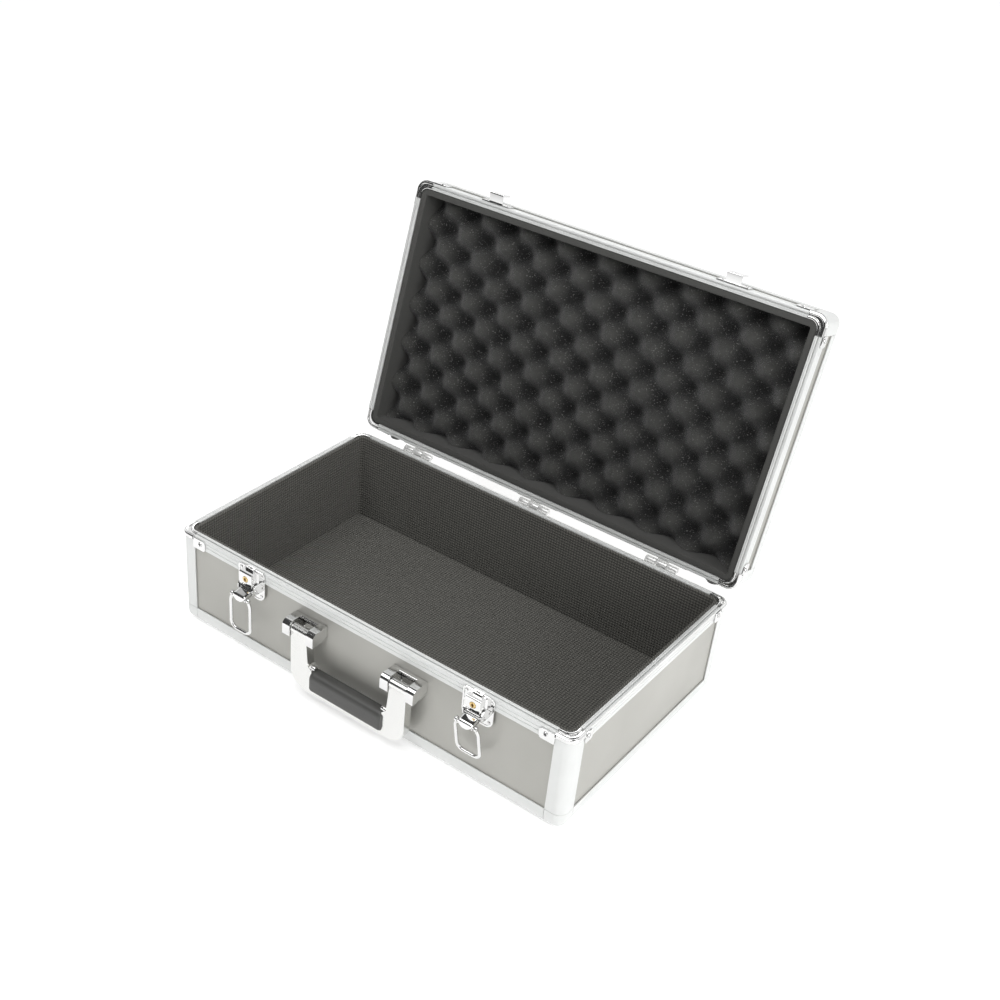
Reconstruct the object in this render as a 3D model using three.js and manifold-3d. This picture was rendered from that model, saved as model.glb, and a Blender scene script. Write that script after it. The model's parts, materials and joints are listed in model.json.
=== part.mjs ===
// Aluminium attache case, standing open on its base.
// Millimetres, +Z up. The origin is the middle of the flat underside; the front, with the handle
// and the two draw latches, faces -Y, and the lid hinges along the back edge.
// The lid is modelled closed and then turned open about the hinge axis.

import * as THREE from 'three';
import { mergeVertices } from 'three/addons/utils/BufferGeometryUtils.js';
import Module from 'manifold-3d';

const wasm = await Module();
wasm.setup();

// ---------------------------------------------------------------- driving dimensions

const HALF_X = 225;          // half the case's length
const HALF_Y = 132;          // half its depth, front face to back face
const BASE_TOP = 105;        // top of the base's rim
const LID_SEAM = 105.4;      // the lid's rim face when the case is shut
const CLOSED_TOP = 150;      // top of the shut case
const OPEN_ANGLE = 105.5;    // degrees from shut to the hinges' stop

const EDGE_R = 10;           // every outside edge and corner is rounded to this
const FRAME_W = 18;          // width of corner posts, edge rails and rim corners
const RIM_W = 6.3;           // wall thickness: the rim, and the boards behind its skirt
const RIM_H = 12.7;          // height of the rim profile's outer face
const RIM_BLOCK = 6;         // height of the part of the rim that stands on the board
const SKIN = 1.2;            // thickness of an extrusion's outer leg
const RECESS = 1.5;          // how far a board sits behind the extrusion's face
const FLOOR_T = 4.8;         // bottom board
const LINER_T = 2;
const FIT = 0.3;             // gap between neighbouring pieces
const FOAM_FACE = 118;       // where the lid's foam ends, shut
const ROUND = 24;            // facets in a full turn of the outside rounding

const HINGE = { y: 136.4, z: 105.2, xs: [-149, 0, 149], knuckleR: 3, pinR: 1.2, half: 17.5, leaf: 25 };
const LATCH = { xs: [-131, 131], pivotY: -137.8, pivotZ: 83, tilt: 15, reach: 11, drop: 1.5 };
const BAIL = { halfW: 12.2, wire: 1.7, length: 39.2, bendR: 6, lean: [0, 12] };
const FOOT = { x: 195, r: 6.2, reach: 7.8, edge: 0.8, baseZ: 32, lidZ: 125.5 };
const HANDLE = { x: 57.5, pivotY: -144.5, pivotZ: 75, pinR: 2, eyeR: 5, bottom: 13, outer: 67, armW: 19 };

// ---------------------------------------------------------------- materials

const finish = (color, roughness, metalness) => ({ color, roughness, metalness });
const SATIN = finish(0xd9dbd9, 0.35, 1);
const CHROME = finish(0xe8e8e8, 0.08, 1);
const LAMINATE = finish(0xa9a79f, 0.5, 0.1);
const LINING = finish(0x3d3c39, 0.9, 0);
const FOAM = finish(0x26262a, 1, 0);
const PLASTIC = finish(0x2c2c2d, 0.45, 0);
const BRASS = finish(0xb8924a, 0.3, 1);

// ---------------------------------------------------------------- solids

const root = new THREE.Group();
const radians = THREE.MathUtils.degToRad;

function piece(parent, name, geometry, look) {
  const mesh = new THREE.Mesh(geometry, new THREE.MeshStandardMaterial(look));
  mesh.name = name;
  parent.add(mesh);
  return mesh;
}

function toSolid(geometry) {
  const bare = geometry.clone();
  bare.deleteAttribute('normal');
  bare.deleteAttribute('uv');
  const merged = mergeVertices(bare, 1e-4);
  return new wasm.Manifold(new wasm.Mesh({
    numProp: 3,
    vertProperties: new Float32Array(merged.attributes.position.array),
    triVerts: new Uint32Array(merged.index.array),
  }));
}

function fromSolid(solid) {
  const mesh = solid.getMesh();
  const geometry = new THREE.BufferGeometry();
  geometry.setAttribute('position', new THREE.BufferAttribute(mesh.vertProperties, 3));
  geometry.setIndex(new THREE.BufferAttribute(mesh.triVerts, 1));
  geometry.computeVertexNormals();
  return geometry;
}

const join = (...parts) => fromSolid(parts.map(toSolid).reduce((a, b) => a.add(b)));
const common = (...parts) => fromSolid(parts.map(toSolid).reduce((a, b) => a.intersect(b)));

function cut(body, ...tools) {
  return fromSolid(tools.map(toSolid).reduce((a, b) => a.subtract(b), toSolid(body)));
}

function block([x0, x1], [y0, y1], [z0, z1]) {
  const geometry = new THREE.BoxGeometry(x1 - x0, y1 - y0, z1 - z0);
  return geometry.translate((x0 + x1) / 2, (y0 + y1) / 2, (z0 + z1) / 2);
}

// How a prism's drawn outline (across, up) and its length lie in the case's frame.
const LAY = {
  x: [[0, 1, 0], [0, 0, 1], [1, 0, 0]],    // outline in Y and Z, length along +X
  y: [[1, 0, 0], [0, 0, 1], [0, -1, 0]],   // outline in X and Z, length along -Y
  z: [[1, 0, 0], [0, 1, 0], [0, 0, 1]],    // outline in X and Y, length along +Z
};

const toShape = (points) => new THREE.Shape(points.map(([a, b]) => new THREE.Vector2(a, b)));

function prism(axis, points, from, to, holes = []) {
  const shape = toShape(points);
  shape.holes = holes.map((hole) => new THREE.Path(hole.map(([a, b]) => new THREE.Vector2(a, b))));
  const geometry = new THREE.ExtrudeGeometry(shape, { depth: to - from, bevelEnabled: false });
  const basis = LAY[axis].map((direction) => new THREE.Vector3(...direction));
  geometry.applyMatrix4(new THREE.Matrix4().makeBasis(...basis));
  const start = { x: [from, 0, 0], y: [0, to, 0], z: [0, 0, from] }[axis];
  return geometry.translate(...start);
}

const ordered = (a, b) => [Math.min(a, b), Math.max(a, b)];

// Points of an arc, angles in degrees, both ends included.
function arc([ca, cb], radius, fromDeg, toDeg, steps) {
  return Array.from({ length: steps + 1 }, (_, i) => {
    const angle = radians(fromDeg + ((toDeg - fromDeg) * i) / steps);
    return [ca + radius * Math.cos(angle), cb + radius * Math.sin(angle)];
  });
}

const disc = (center, radius, facets) => arc(center, radius, 0, 360 - 360 / facets, facets - 1);

function rod(axis, center, radius, from, to, facets = 20) {
  return prism(axis, disc(center, radius, facets), from, to);
}

function roundedRect([a0, a1], [b0, b1], radius, steps = 4) {
  return [
    ...arc([a1 - radius, b0 + radius], radius, -90, 0, steps),
    ...arc([a1 - radius, b1 - radius], radius, 0, 90, steps),
    ...arc([a0 + radius, b1 - radius], radius, 90, 180, steps),
    ...arc([a0 + radius, b0 + radius], radius, 180, 270, steps),
  ];
}

// ---------------------------------------------------------------- corners and frames

// The case's four corners, counter-clockwise from above, with the angle where each one's arc starts.
const CORNERS = [
  { tag: 'front_right', sx: 1, sy: -1, from: -90 },
  { tag: 'back_right', sx: 1, sy: 1, from: 0 },
  { tag: 'back_left', sx: -1, sy: 1, from: 90 },
  { tag: 'front_left', sx: -1, sy: -1, from: 180 },
];

// The outline of the case round one corner: a straight leg, the rounding, a straight leg.
class CornerPath extends THREE.Curve {
  constructor(corner, legs, arcSteps) {
    super();
    const center = [corner.sx * (HALF_X - EDGE_R), corner.sy * (HALF_Y - EDGE_R)];
    const bend = arc(center, EDGE_R, corner.from, corner.from + 90, arcSteps);
    const heading = (deg) => [-Math.sin(radians(deg)), Math.cos(radians(deg))];
    const stations = bend.map((at, i) => ({ at, along: heading(corner.from + (90 * i) / arcSteps) }));
    const [first, last] = [stations[0], stations.at(-1)];
    const moved = (s, d) => ({ at: [s.at[0] + s.along[0] * d, s.at[1] + s.along[1] * d], along: s.along });
    this.stations = [moved(first, -legs[0]), ...stations, moved(last, legs[1])];
  }

  station(t) {
    return this.stations[Math.round(t * (this.stations.length - 1))];
  }

  getPoint(t) {
    return new THREE.Vector3(...this.station(t).at, 0);
  }

  getPointAt(t) {
    return this.getPoint(t);
  }

  getTangentAt(t) {
    return new THREE.Vector3(...this.station(t).along, 0);
  }
}

// Sweeps a section round one corner. A section point is [depth behind the outer face, z].
function sweepCorner(corner, section, legs = [FRAME_W - EDGE_R, FRAME_W - EDGE_R], arcSteps = ROUND / 4) {
  const path = new CornerPath(corner, legs, arcSteps);
  const shape = toShape(section.map(([depth, z]) => [-z, depth]));
  return new THREE.ExtrudeGeometry(shape, { steps: arcSteps + 2, extrudePath: path, bevelEnabled: false });
}

// A closed ring of the same section round all four sides.
function sweepRing(section) {
  const halves = { x: HALF_X - EDGE_R, y: HALF_Y - EDGE_R };
  const quarters = CORNERS.map((corner, i) => {
    const legs = i % 2 === 0 ? [halves.x, halves.y] : [halves.y, halves.x];
    return sweepCorner(corner, section, legs);
  });
  return join(...quarters);
}

// The four straight sides: the section's depth runs inwards from each outer face.
const SIDES = {
  front: { axis: 'x', half: HALF_X, place: (depth) => -HALF_Y + depth },
  back: { axis: 'x', half: HALF_X, place: (depth) => HALF_Y - depth },
  left: { axis: 'y', half: HALF_Y, place: (depth) => -HALF_X + depth },
  right: { axis: 'y', half: HALF_Y, place: (depth) => HALF_X - depth },
};

function sideProfile(side, section, endGap) {
  const { axis, half, place } = SIDES[side];
  const outline = section.map(([depth, z]) => [place(depth), z]);
  return prism(axis, outline, -(half - endGap), half - endGap);
}

// The rim's section. 'into' is +1 for the lid, which rises from the seam, and -1 for the base.
function rimSection(seam, into) {
  const points = [
    [3.9, 0], [RIM_W, 0], [RIM_W, RIM_BLOCK], [SKIN, RIM_BLOCK], [SKIN, RIM_H], [0, RIM_H],
    [0, 8.6], [0.35, 8.3], [0, 8.0], [0, 4.6], [0.35, 4.3], [0, 4.0],
    [0, 1.3], [0.5, 0.8], [2.2, 0.8], [2.2, 1.8], [3.3, 1.8],
  ];
  return points.map(([depth, height]) => [depth, seam + into * height]);
}

// The rim corner's section is the rim without its skirt, with a band proud of the outer face.
function rimCornerSection(seam, into) {
  const points = [
    [3.9, 0], [RIM_W, 0], [RIM_W, RIM_BLOCK], [-1.2, RIM_BLOCK],
    [-1.2, 1.9], [0, 1.3], [0.5, 0.8], [2.2, 0.8], [2.2, 1.8], [3.3, 1.8],
  ];
  return points.map(([depth, height]) => [depth, seam + into * height]);
}

// A riveted flap of the rim corner, lying on the outer face just past the corner. A narrow neck
// above the post joins it to the corner's own band.
function cornerFlap(corner, seam, into, alongX) {
  const axis = alongX ? 'y' : 'x';
  const half = alongX ? HALF_X : HALF_Y;
  const sign = alongX ? corner.sx : corner.sy;
  const face = alongX ? corner.sy * HALF_Y : corner.sx * HALF_X;
  const across = (near, far) => ordered(sign * (half - near), sign * (half - far));
  const up = (low, high) => ordered(seam + into * low, seam + into * high);
  const proud = (from, to) => ordered(face + Math.sign(face) * from, face + Math.sign(face) * to);
  const reach = alongX ? 33 : 28;
  const skin = proud(FIT, 1.2);
  const tab = roundedRect(across(FRAME_W - 0.6, reach), up(2.4, 13.6), 3);
  const neck = roundedRect(across(FRAME_W - 1.2, FRAME_W + 0.6), up(2.4, RIM_BLOCK), 0.4, 1);
  const rivet = [sign * (half - reach + 6.5), seam + into * 7.2];
  return join(
    prism(axis, tab, ...skin),
    prism(axis, neck, ...skin),
    rod(axis, rivet, 2.4, ...proud(1, 2.1), 12),
  );
}

function rimCorner(corner, seam, into) {
  const body = sweepCorner(corner, rimCornerSection(seam, into));
  return join(body, cornerFlap(corner, seam, into, true), cornerFlap(corner, seam, into, false));
}

// ---------------------------------------------------------------- rounded shells

// A slab whose upright edges, and whose edges at z1, are rounded. z1 may lie below z0.
function roundedSlab(inset, z0, z1) {
  const r = EDGE_R - inset;
  const cx = HALF_X - EDGE_R;
  const cy = HALF_Y - EDGE_R;
  const cz = z1 - Math.sign(z1 - z0) * r;
  const parts = [
    block([-cx, cx], [-cy, cy], ordered(z0, z1)),
    block([-cx - r, cx + r], [-cy, cy], ordered(z0, cz)),
    block([-cx, cx], [-cy - r, cy + r], ordered(z0, cz)),
    ...[-cy, cy].map((y) => rod('x', [y, cz], r, -cx, cx, ROUND)),
    ...[-cx, cx].map((x) => rod('y', [x, cz], r, -cy, cy, ROUND)),
  ];
  for (const { sx, sy } of CORNERS) {
    const ball = new THREE.SphereGeometry(r, ROUND, ROUND / 2).rotateX(Math.PI / 2);
    parts.push(rod('z', [sx * cx, sy * cy], r, ...ordered(z0, cz), ROUND));
    parts.push(ball.translate(sx * cx, sy * cy, cz));
  }
  return join(...parts);
}

// A plain box reaching in to the given depth behind each outer face.
function core(depth, z0, z1) {
  return block([depth - HALF_X, HALF_X - depth], [depth - HALF_Y, HALF_Y - depth], [z0, z1]);
}

// A tray of lining: walls against the boards, and a floor at z 'floorAt'.
function liner(z0, z1, floorAt) {
  const outer = RIM_W + FIT;
  const inner = outer + LINER_T;
  const walls = sweepRing([[outer, z0], [inner, z0], [inner, z1], [outer, z1]]);
  return join(walls, core(outer + 0.8, floorAt, floorAt + LINER_T));
}

// Two round feet on the back, which the case stands on when its handle is up. They are screwed to
// the board, and one node holds both.
function withFeet(board, z) {
  const tip = HALF_Y + FOOT.reach;
  const feet = [-FOOT.x, FOOT.x].flatMap((x) => [
    rod('y', [x, z], FOOT.r, HALF_Y - RECESS - 1, tip - FOOT.edge, 24),
    rod('y', [x, z], FOOT.r - FOOT.edge, tip - 2 * FOOT.edge, tip, 24),
  ]);
  return join(board, ...feet);
}

// ---------------------------------------------------------------- base

function cornerPost(corner) {
  const inner = 11.8;
  const outline = [
    [FRAME_W, 0], ...arc([EDGE_R, EDGE_R], EDGE_R, 270, 180, ROUND / 4), [0, FRAME_W], [SKIN, FRAME_W],
    [SKIN, inner], [RIM_W, inner], [RIM_W, RIM_W], [inner, RIM_W], [inner, SKIN], [FRAME_W, SKIN],
  ];
  const placed = outline.map(([a, b]) => [corner.sx * (HALF_X - a), corner.sy * (HALF_Y - b)]);
  return prism('z', placed, FRAME_W + FIT / 2, BASE_TOP - RIM_BLOCK - FIT);
}

// The bottom rail's section: rounded outside, a leg over the board, a foot beside the floor.
function railSection() {
  const shelf = EDGE_R - FIT;
  return [
    [0, FRAME_W], ...arc([EDGE_R, EDGE_R], EDGE_R, 180, 270, ROUND / 4), [FRAME_W, 0], [FRAME_W, FLOOR_T],
    [RIM_W, FLOOR_T], [RIM_W, shelf], [SKIN, shelf], [SKIN, FRAME_W],
  ];
}

// Hollowed where the floor, the liner and the ends of the side boards come in.
function ballCorner({ sx, sy }) {
  const size = FRAME_W - FIT / 2;
  const range = (sign, half, near, far) => ordered(sign * (half - near), sign * (half - far));
  const corner = (nearX, nearY, far, z) => {
    return block(range(sx, HALF_X, nearX, far), range(sy, HALF_Y, nearY, far), z);
  };
  const shelf = EDGE_R - FIT;
  return cut(
    common(roundedSlab(0, 30, 0), corner(-1, -1, size, [-1, size])),
    corner(RIM_W, RIM_W, 30, [FLOOR_T, 30]),
    corner(11.8, SKIN, 30, [shelf, 30]),
    corner(SKIN, 11.8, 30, [shelf, 30]),
  );
}

function buildBase(group) {
  const boardTop = BASE_TOP - RIM_BLOCK - FIT;
  const board = [[RECESS, EDGE_R], [RIM_W, EDGE_R], [RIM_W, boardTop], [RECESS, boardTop]];
  const inset = FRAME_W + FIT;
  piece(group, 'base_bottom_board', core(inset, 0, FLOOR_T), LAMINATE);
  for (const side of Object.keys(SIDES)) {
    const plain = sideProfile(side, board, 12.1);
    piece(group, `base_${side}_board`, side === 'back' ? withFeet(plain, FOOT.baseZ) : plain, LAMINATE);
    piece(group, `base_${side}_rail`, sideProfile(side, railSection(), inset), SATIN);
    piece(group, `base_${side}_rim`, sideProfile(side, rimSection(BASE_TOP, -1), inset), SATIN);
  }
  for (const corner of CORNERS) {
    piece(group, `base_post_${corner.tag}`, cornerPost(corner), SATIN);
    piece(group, `base_ball_corner_${corner.tag}`, ballCorner(corner), SATIN);
    piece(group, `base_rim_corner_${corner.tag}`, rimCorner(corner, BASE_TOP, -1), CHROME);
  }
  const floor = FLOOR_T + FIT;
  piece(group, 'base_liner', liner(floor, BASE_TOP - 0.8, floor), LINING);
}

// ---------------------------------------------------------------- lid

// The board is a shallow tray. The edge frame wraps its top edge on all four sides, and comes down
// its four corners to the rim corners.
function buildLid(group) {
  const roof = CLOSED_TOP - RECESS;
  const under = roof - FLOOR_T;
  const foot = LID_SEAM + RIM_BLOCK + FIT;
  const board = cut(roundedSlab(RECESS, foot, roof), core(RIM_W, foot - 1, under));
  const railFoot = CLOSED_TOP - FRAME_W;
  const frame = cut(
    roundedSlab(0, foot, CLOSED_TOP),
    roundedSlab(SKIN, foot - 20, CLOSED_TOP - SKIN),
    core(FRAME_W, railFoot, CLOSED_TOP + 1),
    block([FRAME_W - HALF_X, HALF_X - FRAME_W], [-HALF_Y - 1, HALF_Y + 1], [foot - 1, railFoot]),
    block([-HALF_X - 1, HALF_X + 1], [FRAME_W - HALF_Y, HALF_Y - FRAME_W], [foot - 1, railFoot]),
  );
  piece(group, 'lid_board', withFeet(board, FOOT.lidZ), LAMINATE);
  piece(group, 'lid_edge_frame', frame, SATIN);
  for (const side of Object.keys(SIDES)) {
    piece(group, `lid_${side}_rim`, sideProfile(side, rimSection(LID_SEAM, 1), FRAME_W + FIT), SATIN);
  }
  for (const corner of CORNERS) {
    piece(group, `lid_rim_corner_${corner.tag}`, rimCorner(corner, LID_SEAM, 1), CHROME);
  }
  const lined = under - FIT;
  piece(group, 'lid_liner', liner(LID_SEAM + 0.8, lined, lined - LINER_T), LINING);
  const soft = RIM_W + LINER_T + 3 * FIT;
  piece(group, 'lid_egg_crate_foam', core(soft, FOAM_FACE, lined - LINER_T - FIT), FOAM);
}

// ---------------------------------------------------------------- hinges

const HINGE_FACE = [HALF_Y + FIT, HALF_Y + 1.4];

function hingeLeaf(x, [z0, z1]) {
  return prism('y', roundedRect([x - HINGE.leaf, x + HINGE.leaf], [z0, z1], 2), ...HINGE_FACE);
}

// One stretch of knuckle with the web that carries it to its leaf.
function knuckle(from, to, leafZ) {
  const web = block([from, to], [HINGE_FACE[0], HINGE_FACE[1] + 0.5], ordered(leafZ, HINGE.z));
  return join(web, rod('x', [HINGE.y, HINGE.z], HINGE.knuckleR, from, to));
}

function baseHinge(x) {
  const inner = 6.1;
  return join(
    hingeLeaf(x, [89, 101.5]),
    knuckle(x - HINGE.half, x - inner, 100),
    knuckle(x + inner, x + HINGE.half, 100),
    rod('x', [HINGE.y, HINGE.z], HINGE.pinR, x - HINGE.half + 0.5, x + HINGE.half - 0.5, 16),
  );
}

// The lid's leaf has one middle knuckle, with a tail that meets the base's leaf when fully open.
function lidHinge(x) {
  const half = 5.8;
  const tail = block([x - half, x + half], [HINGE.y, HINGE.y + 7.3], [HINGE.z - 0.8, HINGE.z + 0.8]);
  const body = join(hingeLeaf(x, [109, 121.5]), knuckle(x - half, x + half, 110), tail);
  return cut(body, rod('x', [HINGE.y, HINGE.z], HINGE.pinR + 0.12, x - 8, x + 8, 16));
}

function buildHinges(base, lid) {
  HINGE.xs.forEach((x, i) => {
    const tag = ['left', 'middle', 'right'][i];
    piece(base, `hinge_base_leaf_${tag}`, baseHinge(x), CHROME);
    piece(lid, `hinge_lid_leaf_${tag}`, lidHinge(x), CHROME);
  });
}

// ---------------------------------------------------------------- draw latches

const FACE = -HALF_Y;                        // the front face that the fittings stand on
const PLATE = [FACE - 1.4, FACE - FIT];      // a fitting's plate, front and back
const KEY = { z: 95, r: 3.1 };

// Plate with rounded bottom corners, housing, the two cheeks and the lever's pivot pin.
function latchBody(x) {
  const { pivotY: py, pivotZ: pz } = LATCH;
  const plate = [
    ...arc([x + 9.5, 78.5], 7, -90, 0, 4), [x + 16.5, 103.2],
    [x - 16.5, 103.2], ...arc([x - 9.5, 78.5], 7, 180, 270, 4),
  ];
  const back = PLATE[1] - 0.6;
  const front = FACE - 9.5;
  const housing = prism('z', [[x - 9.6, back], [x - 8, front], [x + 8, front], [x + 9.6, back]], 87, 102.4);
  const cheeks = [[x - 9.8, x - 8.6], [x + 8.6, x + 9.8]].flatMap((side) => [
    block(side, [py, back], [79, 90]),
    block(side, [py - 2.6, back], [83, 90]),
    rod('x', [py, pz], 4, ...side, 16),
  ]);
  const pin = rod('x', [py, pz], 1.3, x - 9.4, x + 9.4, 16);
  const bore = rod('y', [x, KEY.z], KEY.r + 0.1, front - 1, PLATE[0] - 0.6, 24);
  return cut(join(prism('y', plate, ...PLATE), housing, ...cheeks, pin), bore);
}

// Drawn round its pivot, pointing straight out along -Y: a curved top, two cheeks, two cross holes.
function latchLever() {
  const halfW = 8.2;
  const bend = [-11, -4.8];
  const top = [[2.2, 3.2], ...arc(bend, 8, 90, 180, 6), ...arc(bend, 6.6, 180, 90, 6), [2.2, 1.6]];
  const cheek = [
    [2.2, 3], [-11, 3], [-14.5, 2], [-16.8, -1], [-17.6, -3.6],
    [-14, -4.1], [-8, -4.1], [-2, -3.3], [2.2, -2.6], [3.3, 0],
  ];
  const body = join(
    prism('x', top, -halfW, halfW),
    prism('x', cheek, -halfW, 1.2 - halfW),
    prism('x', cheek, halfW - 1.2, halfW),
  );
  const pivotHole = rod('x', [0, 0], 1.42, -10, 10, 16);
  const bailHole = rod('x', [-LATCH.reach, -LATCH.drop], 1.32, -10, 10, 16);
  return cut(body, pivotHole, bailHole);
}

// The centre line of the bail's wire, hanging from its pivot: shoulder, leg, bend, end bar.
class BailPath extends THREE.Curve {
  constructor() {
    super();
    const { halfW, length, bendR } = BAIL;
    const side = [[10.2, -1.4], [10.5, -3], [11.4, -5], [halfW, -7.4], [halfW, -length * 0.45]];
    const bend = arc([halfW - bendR, bendR - length], bendR, 0, -90, 6);
    const right = [...side, ...bend];
    const left = right.map(([x, z]) => [-x, z]).reverse();
    this.stations = [...right, ...left].map(([x, z]) => new THREE.Vector3(x, 0, z));
  }

  getPoint(t) {
    return this.stations[Math.round(t * (this.stations.length - 1))].clone();
  }

  getPointAt(t) {
    return this.getPoint(t);
  }

  getTangentAt(t) {
    const i = Math.round(t * (this.stations.length - 1));
    const before = this.stations[Math.max(i - 1, 0)];
    const after = this.stations[Math.min(i + 1, this.stations.length - 1)];
    return after.clone().sub(before).normalize();
  }
}

function bail() {
  const path = new BailPath();
  const round = toShape(disc([0, 0], BAIL.wire, 10));
  const steps = path.stations.length - 1;
  const wire = new THREE.ExtrudeGeometry(round, { steps, extrudePath: path, bevelEnabled: false });
  const eyes = [[-11.4, -9], [9, 11.4]].map((side) => rod('x', [0, 0], 2.6, ...side, 16));
  return cut(join(wire, ...eyes), rod('x', [0, 0], 1.32, -14, 14, 16));
}

function keyCylinder(x) {
  const barrel = rod('y', [x, KEY.z], KEY.r, FACE - 10.2, PLATE[0] - 0.9, 24);
  return cut(barrel, block([x - 0.45, x + 0.45], [FACE - 11, FACE - 8.4], [KEY.z - 2.1, KEY.z + 2.1]));
}

// The hook on the lid: a plate on the rim, a foot and an upturned lip that holds the bail's bar.
function catchHook(x) {
  const plate = prism('y', roundedRect([x - 16.5, x + 16.5], [LID_SEAM + 1.2, 117], 3), ...PLATE);
  const foot = LID_SEAM + 1.6;
  const lip = [
    [PLATE[1] - 0.6, foot], [FACE - 9.2, foot], [FACE - 10.4, foot + 1.2], [FACE - 10.4, 119.5],
    [FACE - 8.8, 119.5], [FACE - 8.8, foot + 1.9], [PLATE[1] - 0.6, foot + 1.9],
  ];
  return join(plate, prism('x', lip, x - 8, x + 8));
}

function buildLatches(base, lid) {
  LATCH.xs.forEach((x, i) => {
    const tag = ['left', 'right'][i];
    piece(base, `latch_body_${tag}`, latchBody(x), CHROME);
    piece(base, `key_cylinder_${tag}`, keyCylinder(x), BRASS);
    piece(lid, `catch_hook_${tag}`, catchHook(x), CHROME);
    const pivot = new THREE.Group();
    pivot.position.set(x, LATCH.pivotY, LATCH.pivotZ);
    pivot.rotation.x = radians(LATCH.tilt);
    base.add(pivot);
    piece(pivot, `latch_lever_${tag}`, latchLever(), CHROME);
    const hang = new THREE.Group();
    hang.position.set(0, -LATCH.reach, -LATCH.drop);
    hang.rotation.x = radians(BAIL.lean[i] - LATCH.tilt);
    pivot.add(hang);
    piece(hang, `bail_pin_${tag}`, rod('x', [0, 0], 1.2, -11.8, 11.8, 16), CHROME);
    piece(hang, `latch_bail_${tag}`, bail(), CHROME);
  });
}

// ---------------------------------------------------------------- handle

// A plate on the front board, two round-nosed lugs and the cross pin.
function handleBracket(x) {
  const { pivotY: py, pivotZ: pz, pinR } = HANDLE;
  const board = FACE + RECESS;
  const plate = prism('y', roundedRect([x - 18.5, x + 18.5], [66.5, 82.5], 1), board - 2.4, board - FIT);
  const nose = [[board - 1, 82.5], ...arc([-146, 77.5], 5, 90, 180, 5), ...arc([-146, 73], 5, 180, 270, 5)];
  const lug = [...nose, [board - 1, 68]];
  const lugs = [[x - 18.5, x - 10], [x + 10, x + 18.5]].map((side) => prism('x', lug, ...side));
  return join(plate, ...lugs, rod('x', [py, pz], pinR, x - 18, x + 18));
}

// The cast U: two arms with eyes, wide lower corners and a rail under the grip.
function handleFrame() {
  const { pivotY: py, pivotZ: pz, bottom, outer, armW, eyeR } = HANDLE;
  const inner = outer - armW;
  const right = [
    [outer - 17, bottom], [outer - 8, bottom + 5], [outer - 2, bottom + 13],
    [outer - 0.5, bottom + 24], [outer, pz],
    [inner, pz], [inner, 47], [42, 38], [42, bottom + 4.5],
  ];
  const left = right.map(([x, z]) => [-x, z]).reverse();
  const plan = [...right, ...left];
  const eyes = [[-outer, -inner], [inner, outer]].map((side) => rod('x', [py, pz], eyeR, ...side));
  const solid = join(prism('y', plan, py - 4.5, py + 4.5), ...eyes);
  return cut(solid, rod('x', [py, pz], HANDLE.pinR + 0.11, -outer - 1, outer + 1, 24));
}

function buildHandle(group) {
  for (const [tag, x] of [['left', -HANDLE.x], ['right', HANDLE.x]]) {
    piece(group, `handle_bracket_${tag}`, handleBracket(x), CHROME);
  }
  piece(group, 'handle_frame', handleFrame(), SATIN);
  const { pivotY: py, bottom } = HANDLE;
  const grip = roundedRect([py - 7.5, py + 7.5], [bottom + 4.8, 39], 5);
  piece(group, 'handle_grip', prism('x', grip, -41.7, 41.7), PLASTIC);
}

// ---------------------------------------------------------------- assembly

const base = new THREE.Group();
const hinge = new THREE.Group();
const lid = new THREE.Group();
hinge.position.set(0, HINGE.y, HINGE.z);
hinge.rotation.x = -radians(OPEN_ANGLE);
lid.position.set(0, -HINGE.y, -HINGE.z);
hinge.add(lid);
root.add(base, hinge);

buildBase(base);
buildLid(lid);
buildHinges(base, lid);
buildLatches(base, lid);
buildHandle(base);

export default root;
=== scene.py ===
"""Looks of the aluminium attache case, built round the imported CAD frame. Metres, +Z up.

The base stands on the floor with its front towards -Y. Everything on the lid is built as if the
lid were shut, in the same frame as the base, and then placed open by OPEN_LID.
"""

import json
import math

import bmesh
import bpy
import numpy as np
from mathutils import Matrix, Vector, noise


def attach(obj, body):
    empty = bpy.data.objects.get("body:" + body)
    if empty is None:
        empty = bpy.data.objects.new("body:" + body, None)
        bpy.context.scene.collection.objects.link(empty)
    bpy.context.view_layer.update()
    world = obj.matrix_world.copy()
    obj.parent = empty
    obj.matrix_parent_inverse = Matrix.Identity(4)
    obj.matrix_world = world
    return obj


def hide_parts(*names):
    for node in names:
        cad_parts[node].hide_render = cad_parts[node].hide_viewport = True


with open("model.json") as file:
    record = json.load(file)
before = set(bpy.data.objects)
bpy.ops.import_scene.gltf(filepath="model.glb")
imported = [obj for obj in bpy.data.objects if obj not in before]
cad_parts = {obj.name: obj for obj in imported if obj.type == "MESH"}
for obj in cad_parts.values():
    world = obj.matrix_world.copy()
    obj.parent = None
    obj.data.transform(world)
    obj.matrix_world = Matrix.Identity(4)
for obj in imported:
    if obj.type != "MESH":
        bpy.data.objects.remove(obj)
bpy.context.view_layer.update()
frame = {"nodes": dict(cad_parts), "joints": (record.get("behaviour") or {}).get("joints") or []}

# ---- sizes, as in the CAD

MM = 0.001
HALF_X = 225 * MM
HALF_Y = 132 * MM
BASE_TOP = 105 * MM
LID_SEAM = 105.4 * MM
CLOSED_TOP = 150 * MM
EDGE_R = 10 * MM
FRAME_W = 18 * MM
RIM_W = 6.3 * MM
RIM_BLOCK = 6 * MM
SKIN = 1.2 * MM
FIT = 0.3 * MM
LINER_T = 2 * MM
FLOOR_T = 4.8 * MM
FACE = -HALF_Y                       # the front face that the fittings stand on
LEVER_TILT = math.radians(15)
FOAM_FACE = 118 * MM                 # the highest peaks of the lid's foam, with the lid shut
FOAM_DEPTH = 20.5 * MM               # from its peaks to its deepest hollows
FOAM_BACK = 141.1 * MM

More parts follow.
